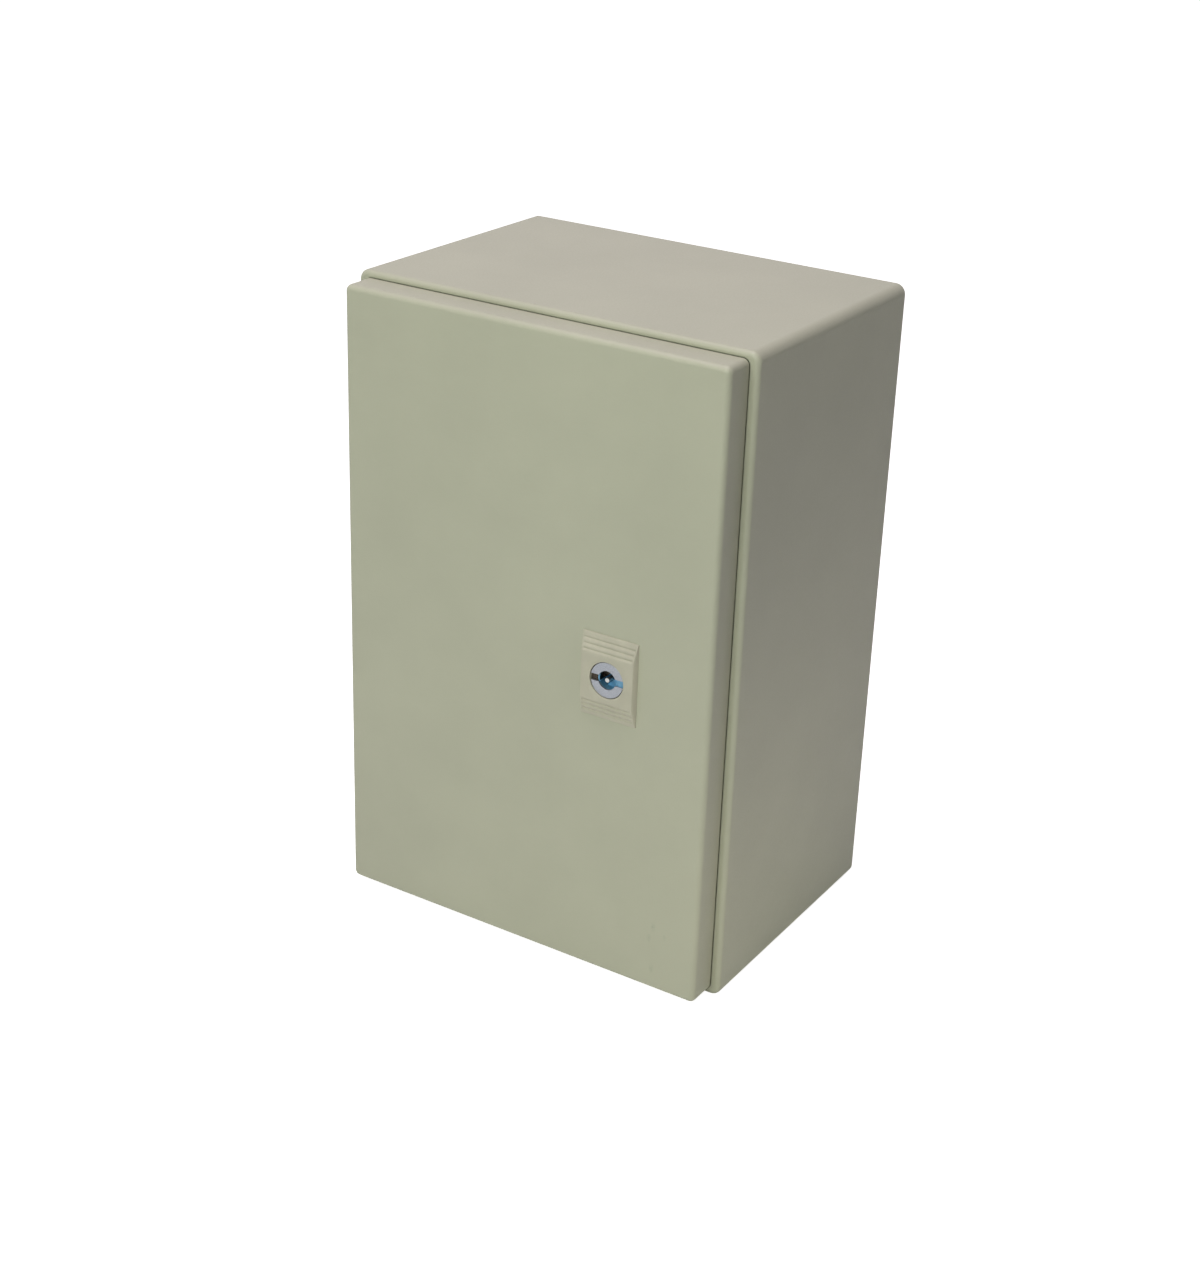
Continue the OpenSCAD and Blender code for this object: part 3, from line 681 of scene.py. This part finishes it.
class ENCLOSURE_OT_add_escutcheon(Operator):
    """Moulds the lock's escutcheon, with soft grooves across its sloping ends"""

    bl_idname = "enclosure.add_escutcheon"
    bl_label = "Add the escutcheon"

    def execute(self, context):
        shape = context.scene.enclosure_escutcheon
        low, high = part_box("lock_bezel")
        middle = (low + high) / 2
        bm = bmesh.new()
        skin(bm, [self.section(shape, low, high, z) for z in self.levels(shape, high.z - low.z)])
        for vert in bm.verts:
            vert.co += Vector((middle.x, high.y, middle.z))
        plate = scene_object("Plate", finished_mesh(bm, "Plate"))
        cutter = scene_object("Seat cutter", self.cutter(shape, low, high))
        cut = plate.modifiers.new("Seat", "BOOLEAN")
        cut.operation = "DIFFERENCE"
        cut.object = cutter
        mesh = baked(plate, cutter)
        mesh.set_sharp_from_angle(angle=math.radians(40))
        stand_in("escutcheon", mesh, "lock_bezel")
        return {"FINISHED"}

    def levels(self, shape, height):
        """Heights of the sections: close together at the ends and over the grooves."""
        levels = {
            0.0, 0.1 * MM, 0.25 * MM, 0.5 * MM, 0.9 * MM,
            shape.slope, shape.slope - 0.4 * MM, shape.slope + 0.4 * MM,
        }
        for i in range(shape.grooves):
            at = shape.first_groove + i * shape.groove_pitch
            levels |= {at + k / 5 * shape.groove_width for k in range(-7, 8)}
        inner = [level for level in sorted(levels) if 0 <= level < height / 2]
        return [level - height / 2 for level in inner] + [height / 2 - level for level in reversed(inner)]

    def section(self, shape, low, high, z):
        """The outline at height z above the middle: up one side, across the face and down the other."""
        width, height, thick = high.x - low.x, high.z - low.z, high.y - low.y
        from_end = height / 2 - abs(z)
        rise = (thick - shape.end_thickness) / shape.slope
        top = min(thick, shape.end_thickness + rise * from_end)
        crease_drop, crease_reach = 0.25 * MM, 0.6 * MM
        end_drop, end_reach = 0.35 * MM, 0.4 * MM
        top -= crease_drop * math.exp(-((from_end - shape.slope) / crease_reach) ** 2) * rise
        top -= end_drop * max(0.0, 1 - from_end / end_reach) ** 2
        dip = sum(
            math.exp(-((from_end - shape.first_groove - i * shape.groove_pitch) / (0.6 * shape.groove_width)) ** 2)
            for i in range(shape.grooves)
        ) * shape.groove_depth
        bend = min(shape.edge_round, 0.45 * top)
        shoulder = width / 2 - shape.draft * top / thick
        side = [(width / 2, 0.0), (width / 2 - shape.draft * (top - bend) / thick, top - bend)]
        for step in (1, 2, 3):
            angle = math.radians(22.5 * step)
            side.append((shoulder - bend * (1 - math.cos(angle)), top - bend * (1 - math.sin(angle))))
        face_half = shoulder - bend
        land, fade_length = 0.4 * MM, 0.9 * MM  # each groove runs out this far before the side
        face = []
        for place in FACE_STATIONS:
            x = face_half * place
            fade = min(1.0, max(0.0, (face_half - land - abs(x)) / fade_length))
            face.append((x, top - dip * fade * fade * (3 - 2 * fade)))
        outline = [(-x, t) for x, t in side] + face + side[::-1]
        return [Vector((x, -t, z)) for x, t in outline]

    def cutter(self, shape, low, high):
        """The seat of the lock's face and the barrel's hole, with a rounded lip."""
        face_low, face_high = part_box("lock_barrel")
        centre = (face_low + face_high) / 2
        seat = (face_high.x - face_low.x) / 2 + shape.seat_gap
        ledge_thickness, ledge_width = 1.5 * MM, 2.5 * MM
        ledge = high.y - ledge_thickness
        hole = seat - ledge_width
        profile = [
            (seat + 0.32 * MM, low.y - MM), (seat + 0.32 * MM, low.y), (seat + 0.12 * MM, low.y + 0.06 * MM),
            (seat + 0.02 * MM, low.y + 0.2 * MM), (seat, low.y + 0.4 * MM), (seat, ledge),
            (hole, ledge), (hole, high.y + MM),
        ]
        bm = bmesh.new()
        rings = [circle(radius, depth, 96) for radius, depth in profile]
        skin(bm, [[Vector((p.x + centre.x, p.z, p.y + centre.z)) for p in ring] for ring in rings])
        return finished_mesh(bm, "Seat cutter")


class ENCLOSURE_OT_ease_edges(Operator):
    """Rounds the cut edges of the sheet parts, hinges and lock"""

    bl_idname = "enclosure.ease_edges"
    bl_label = "Ease the edges"

    def execute(self, context):
        widths = context.scene.enclosure_edges
        for node in (
            "front_channel", "mounting_plate", "gland_plate", "gland_seal", "lock_cam", "lock_seal", "cam_washer",
            "hinge_bracket_upper", "hinge_bracket_lower", "hinge_pin_upper", "hinge_pin_lower",
            "hinge_leaf_upper", "hinge_leaf_lower", "lock_circlip",
        ):
            stand_in("eased_" + node, eased(node, widths.sheet_edge), node)
        self.rotor(widths)
        self.barrel(widths)
        return {"FINISHED"}

    def rotor(self, widths):
        """The key's guide pin stands bright in the blue rotor, and the upper left of the cup is painted dark as shade.
        """
        pin_radius, pin_reach, shade_from, slack = 1.56 * MM, 9 * MM, 2 * MM, 0.01
        mesh = eased("lock_rotor", widths.rotor_edge)
        mesh.materials.clear()
        mesh.materials.append(finishes(bpy.context)["blue_zinc"])
        mesh.materials.append(finishes(bpy.context)["bright_steel"])
        mesh.materials.append(bpy.data.materials["Greased zinc"])
        low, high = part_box("lock_rotor")
        centre = (low + high) / 2
        rim = (high.x - low.x) / 2 - 0.3 * MM
        for vert in mesh.vertices:
            # A little slack keeps the facets clear of the bore's as the rotor turns.
            if math.hypot(vert.co.x - centre.x, vert.co.z - centre.z) > rim:
                vert.co.x += (centre.x - vert.co.x) * slack
                vert.co.z += (centre.z - vert.co.z) * slack
        # The pin gets bright steel; faces on the upper left of the slot get the dark zinc, which is painted shade.
        for face in mesh.polygons:
            off = [mesh.vertices[i].co - centre for i in face.vertices]
            if max(math.hypot(o.x, o.z) for o in off) < pin_radius and face.center.y < low.y + pin_reach:
                face.material_index = 1
            elif min(o.z * 0.77 - o.x * 0.64 for o in off) > shade_from:
                face.material_index = 2
        stand_in("rotor_with_pin", mesh, "lock_rotor")

    def barrel(self, widths):
        """The face keeps its shape, and the body behind the door has a thread."""
        low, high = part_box("lock_barrel")
        centre = (low + high) / 2
        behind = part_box("lock_seal")[0].y
        body = (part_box("lock_nut")[1].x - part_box("lock_nut")[0].x) / 2
        bm = bmesh.new()
        bm.from_mesh(eased("lock_barrel", widths.lock_edge))
        threaded, thread_room, sleeve_wall = 20 * MM, 0.7 * MM, 0.8 * MM
        root = threaded / 2 - thread_room
        for vert in bm.verts:
            off = Vector((vert.co.x - centre.x, vert.co.z - centre.z))
            if vert.co.y > behind and root < off.length < body:
                off *= root / off.length
                vert.co.x, vert.co.z = centre.x + off.x, centre.z + off.y
        self.colour_notches(bm, centre, low)
        sleeve = bmesh.new()
        bore = threaded - 2 * sleeve_wall
        thread(sleeve, threaded, 0.0, high.y - behind, widths.barrel_pitch, bore=bore, count=64)
        stood = standing(Vector((0, 1, 0)), Vector((centre.x, behind, centre.z)))
        bmesh.ops.transform(sleeve, matrix=stood, verts=sleeve.verts)
        mesh = bpy.data.meshes.new("Sleeve")
        sleeve.to_mesh(mesh)
        sleeve.free()
        bm.from_mesh(mesh)
        barrel = finished_mesh(bm, "Threaded barrel", 35.0)
        for name in ("Die-cast zinc", "Blue-passivated zinc", "Greased zinc"):
            barrel.materials.append(bpy.data.materials[name])
        stand_in("threaded_barrel", flat_faces(barrel), "lock_barrel")

    def colour_notches(self, bm, centre, low):
        """Behind the key opening the right notch shows blue zinc, and the left one a painted shade."""
        opening, disc = 7.8 * MM, 12.5 * MM
        notch_top, notch_foot = 1.3 * MM, 3 * MM
        for face in bm.faces:
            face.material_index = 0
            off = [vert.co - centre for vert in face.verts]
            reach = max(math.hypot(o.x, o.z) for o in off)
            ahead = min(vert.co.y for vert in face.verts) - low.y
            if reach < opening and ahead > 0.3 * MM or reach < disc and notch_top < ahead < notch_foot:
                # Right side blue zinc; left side the dark zinc, which is painted shade.
                face.material_index = 1 if sum(o.x for o in off) > 0 else 2


class ENCLOSURE_OT_add_fasteners(Operator):
    """Makes the studs, nuts, washers and screws, each kind once, and sets them in their places"""

    bl_idname = "enclosure.add_fasteners"
    bl_label = "Add the fasteners"

    def execute(self, context):
        self.shape = context.scene.enclosure_fasteners
        front, back, up, left = Vector((0, -1, 0)), Vector((0, 1, 0)), Vector((0, 0, 1)), Vector((-1, 0, 0))
        self.repeat("plate_studs", front, self.collared_stud)
        self.repeat("plate_washers", front, self.plain_washer)
        self.repeat("plate_nuts", front, self.nut)
        self.repeat("body_earth_stud", left, self.stud)
        self.repeat("body_earth_nuts", left, self.earth_nut)
        self.repeat("gland_studs", up, self.stud)
        self.repeat("gland_nuts", up, self.nut)
        self.repeat("door_studs", back, self.stud)
        self.repeat("hinge_leaf_nuts", back, self.nut)
        self.repeat("door_earth_nuts", back, self.earth_nut)
        self.repeat("lock_nut", back, self.nut)
        self.repeat("cam_screw", back, self.screw)
        return {"FINISHED"}

    def repeat(self, node, direction, make):
        """Makes one fastener of each size that the node has, and puts it at every place of that size."""
        axis = max(range(3), key=lambda i: abs(direction[i]))
        sizes = {}
        for low, high in solids(node):
            size = tuple(round(value, 4) for value in high - low)
            foot = (low + high) / 2
            foot[axis] = low[axis] if direction[axis] > 0 else high[axis]
            sizes.setdefault(size, []).append(foot)
        parts = bmesh.new()
        finish = finishes(bpy.context)[SLOT_OF[node]]
        for size, feet in sizes.items():
            across = sorted(size[:axis] + size[axis + 1:])
            bm = bmesh.new()
            make(bm, across[0], size[axis])
            bmesh.ops.transform(bm, matrix=standing(direction), verts=bm.verts)
            source = scene_object(node + " pattern", finished_mesh(bm, node + " pattern"))
            places = bpy.data.meshes.new(node + " places")
            places.from_pydata(feet, [], [])
            holder = scene_object(node + " places", places)
            apply_tree(holder, repeat_tree(), {
                "Fastener": source, "Finish": finish, "Axis": tuple(direction), "Seed": self.shape.seed,
            })
            parts.from_mesh(baked(holder, source))
        if not parts.faces:
            raise RuntimeError(f"No fastener was made for {node}")
        stand_in("set_" + node, finished_mesh(parts, node), node)

    def pitch(self, diameter):
        """The pitch of a thread of that diameter."""
        return self.shape.coarse_pitch if diameter > 6 * MM else self.shape.fine_pitch

    def stud(self, bm, diameter, length):
        """A threaded stud."""
        thread(bm, diameter, 0.0, length, self.pitch(diameter))

    def collared_stud(self, bm, diameter, length):
        """An M8 stud on the collar that holds the mounting plate off the back."""
        collar = self.shape.collar_length
        edge = 0.4 * MM
        profile = [(diameter / 2, 0.0), (diameter / 2, collar - edge), (diameter / 2 - edge, collar)]
        skin(bm, [circle(radius, z, 48) for radius, z in profile])
        thread(bm, M8, collar - edge, length - collar + edge, self.shape.coarse_pitch)

    def plain_washer(self, bm, diameter, thickness):
        """A washer that passes an M8 stud."""
        hole = 4.2 * MM
        washer(bm, diameter / 2, hole, 0.0, thickness, self.shape.washer_edge)

    def nut(self, bm, flats, height):
        """A hexagon nut."""
        hexagon(bm, flats, 0.0, height, NUT_BORE[round(flats / MM)] * MM, count=72)

    def earth_nut(self, bm, diameter, height):
        """An M8 nut on its washer."""
        foot = self.shape.washer_thickness
        washer(bm, diameter / 2, M8 / 2, 0.0, foot, self.shape.washer_edge)
        hexagon(bm, 13 * MM, foot, height - foot, M8)

    def screw(self, bm, flats, length):
        """An M5 screw with a hexagon head."""
        head = 3.5 * MM
        thread(bm, M5, 0.0, length - head, self.shape.fine_pitch)
        hexagon(bm, flats, length - head, head)


class ENCLOSURE_OT_add_door_seal(Operator):
    """Lays the foamed seal round the door, with the line that the lip has pressed into it"""

    bl_idname = "enclosure.add_door_seal"
    bl_label = "Add the door seal"

    def execute(self, context):
        shape = context.scene.enclosure_seal
        low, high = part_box("door_seal")
        wide, thick = shape.width, high.y - low.y
        press = shape.press
        half = [
            (wide / 2, 0.0), (wide / 2, 0.45 * thick), (0.49 * wide, 0.62 * thick), (0.45 * wide, 0.8 * thick),
            (0.39 * wide, 0.92 * thick), (0.31 * wide, 0.985 * thick), (0.24 * wide, thick), (1.7 * MM, thick),
            (1.2 * MM, thick - 0.25 * press), (0.8 * MM, thick - 0.9 * press), (0.4 * MM, thick - press),
        ]
        points = half + [(-x, y) for x, y in reversed(half)]
        section = bpy.data.curves.new("Seal section", "CURVE")
        spline = section.splines.new("POLY")
        spline.points.add(len(points) - 1)
        for point, (x, y) in zip(spline.points, points):
            point.co = (x, -y, 0.0, 1.0)
        spline.use_cyclic_u = True
        profile = scene_object("Seal section", section)
        holder = scene_object("Seal path", bpy.data.meshes.new("Seal path"))
        apply_tree(holder, sweep_tree(), {
            "Section": profile, "Finish": finishes(context)["seal_foam"],
            "Width": high.x - low.x - wide, "Height": high.z - low.z - wide, "Corner": shape.corner,
            "Place": ((low.x + high.x) / 2, low.y, (low.z + high.z) / 2),
        })
        bm = bmesh.new()
        bm.from_mesh(baked(holder, profile))
        stand_in("foamed_seal", finished_mesh(bm, "Foamed seal", 50.0), "door_seal")
        return {"FINISHED"}


class ENCLOSURE_OT_add_stage(Operator):
    """Adds the pale floor, the soft lamps, the room light and the camera"""

    bl_idname = "enclosure.add_stage"
    bl_label = "Add the stage"

    def execute(self, context):
        settings = context.scene.enclosure_stage
        self.add_floor(settings.floor_size)
        self.light_room(settings.ambient, settings.reflected)
        self.add_lamp("Key lamp", Vector((0.15, -1.9, 1.15)), 1.3, settings.key_power, (0.892, 1.0, 0.844))
        self.add_lamp("Top lamp", Vector((-0.2, -0.4, 2.2)), 1.4, settings.top_power, (1.0, 0.883, 0.982))
        low = self.add_lamp(
            "Low lamp", Vector((0.5, -0.36, -0.22)), 0.2, 0.075, (1.0, 0.98, 0.75), Vector((0.15, -0.15, -0.22))
        )
        low.spread = math.radians(70)
        self.add_camera(settings.lens)
        context.scene.view_settings.view_transform = "Standard"
        return {"FINISHED"}

    def add_floor(self, size):
        """A pale floor just under the enclosure, bright where the camera sees it."""
        mesh = bpy.data.meshes.new("Floor")
        half = size / 2
        level = CAD_LOW.z - 0.2 * MM
        corners = [(x * half, y * half, level) for x, y in ((-1, -1), (1, -1), (1, 1), (-1, 1))]
        mesh.from_pydata(corners, [], [(0, 1, 2, 3)])
        floor = scene_object("Floor", mesh)
        material, tree, shader, coords = new_material("Pale floor")
        shade = ramp(tree, noise(tree, coords, 3.0, 2.0), [(0.3, 0.78), (0.7, 0.8)])
        tree.links.new(shade, shader.inputs["Base Color"])
        shader.inputs["Roughness"].default_value = 0.9
        glow = tree.nodes.new("ShaderNodeEmission")
        glow.inputs["Color"].default_value = (1.0, 1.0, 1.0, 1.0)
        tree.links.new(seen_directly(tree, 0.0, 0.93, 0.35), glow.inputs["Strength"])
        both = tree.nodes.new("ShaderNodeAddShader")
        tree.links.new(shader.outputs["BSDF"], both.inputs[0])
        tree.links.new(glow.outputs["Emission"], both.inputs[1])
        tree.links.new(both.outputs["Shader"], tree.nodes["Material Output"].inputs["Surface"])
        mesh.materials.append(material)

    def light_room(self, strength, reflected):
        """The even light of a pale room, white where the camera sees it."""
        world = bpy.data.worlds.new("Studio")
        world.use_nodes = True
        tree = world.node_tree
        background = tree.nodes["Background"]
        background.inputs["Color"].default_value = (1.0, 1.0, 1.0, 1.0)
        tree.links.new(seen_directly(tree, strength, 1.0, reflected), background.inputs["Strength"])
        bpy.context.scene.world = world

    def add_lamp(self, name, place, size, power, colour, target=None):
        """A soft square lamp, aimed at the target or at the middle of the enclosure."""
        lamp = bpy.data.lights.new(name, "AREA")
        lamp.shape = "SQUARE"
        lamp.size = size
        lamp.energy = power
        lamp.color = colour
        holder = scene_object(name, lamp)
        aim = (target or (CAD_LOW + CAD_HIGH) / 2) - place
        holder.matrix_world = Matrix.Translation(place) @ aim.to_track_quat("-Z", "Y").to_matrix().to_4x4()
        return lamp

    def add_camera(self, lens):
        """The camera of the main view."""
        camera = bpy.data.cameras.new("Camera")
        camera.sensor_fit = "AUTO"
        camera.sensor_width = 36.0
        camera.lens = lens
        camera.shift_x, camera.shift_y = CAMERA_SHIFT
        holder = scene_object("Camera", camera)
        holder.location = CAMERA_PLACE
        holder.rotation_euler = [math.radians(angle) for angle in CAMERA_TURN]
        bpy.context.scene.camera = holder


def seen_directly(tree, otherwise, straight, mirrored):
    """A value that depends on the ray.

    It is straight for camera rays, mirrored for glossy and transmission rays, and otherwise for light that falls
    on things.
    """
    path = tree.nodes.new("ShaderNodeLightPath")
    either = add_node(tree, "ShaderNodeMath", [
        (path.outputs["Is Glossy Ray"], 0), (path.outputs["Is Transmission Ray"], 1),
    ], operation="MAXIMUM")
    value = otherwise
    for ray, shown in ((either.outputs["Value"], mirrored), (path.outputs["Is Camera Ray"], straight)):
        pick = add_node(tree, "ShaderNodeMapRange", [(ray, "Value")])
        if isinstance(value, float):
            pick.inputs["To Min"].default_value = value
        else:
            tree.links.new(value, pick.inputs["To Min"])
        pick.inputs["To Max"].default_value = shown
        value = pick.outputs["Result"]
    return value


class ENCLOSURE_PT_panel(Panel):
    """The enclosure's pieces and stage"""

    bl_idname = "ENCLOSURE_PT_panel"
    bl_label = "Enclosure"
    bl_space_type = "VIEW_3D"
    bl_region_type = "UI"
    bl_category = "Enclosure"

    def draw(self, context):
        """Every setting, then every operator."""
        for name in GROUPS:
            settings = getattr(context.scene, name)
            column = self.layout.column()
            for setting in settings.__annotations__:
                column.prop(settings, setting)
        for operator in OPERATORS:
            self.layout.operator(operator.bl_idname)


OPERATORS = (
    ENCLOSURE_OT_finish_parts,
    ENCLOSURE_OT_mark_door,
    ENCLOSURE_OT_add_escutcheon,
    ENCLOSURE_OT_ease_edges,
    ENCLOSURE_OT_add_fasteners,
    ENCLOSURE_OT_add_door_seal,
    ENCLOSURE_OT_add_stage,
)
GROUPS = {
    "enclosure_finishes": EnclosureFinishes,
    "enclosure_wear": EnclosureWear,
    "enclosure_escutcheon": EnclosureEscutcheon,
    "enclosure_edges": EnclosureEdges,
    "enclosure_fasteners": EnclosureFasteners,
    "enclosure_seal": EnclosureSeal,
    "enclosure_stage": EnclosureStage,
}


def register():
    """Adds the settings, the operators and the panel to Blender."""
    for cls in (*GROUPS.values(), *OPERATORS, ENCLOSURE_PT_panel):
        bpy.utils.register_class(cls)
    for name, group in GROUPS.items():
        setattr(bpy.types.Scene, name, PointerProperty(type=group))


def unregister():
    """Takes them out again."""
    for name in GROUPS:
        delattr(bpy.types.Scene, name)
    for cls in reversed((*GROUPS.values(), *OPERATORS, ENCLOSURE_PT_panel)):
        bpy.utils.unregister_class(cls)


def main():
    """Dresses the enclosure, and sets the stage."""
    register()
    bpy.ops.enclosure.finish_parts()
    bpy.ops.enclosure.mark_door()
    bpy.ops.enclosure.add_escutcheon()
    bpy.ops.enclosure.ease_edges()
    bpy.ops.enclosure.add_fasteners()
    bpy.ops.enclosure.add_door_seal()
    bpy.ops.enclosure.add_stage()


if __name__ == "__main__":
    main()
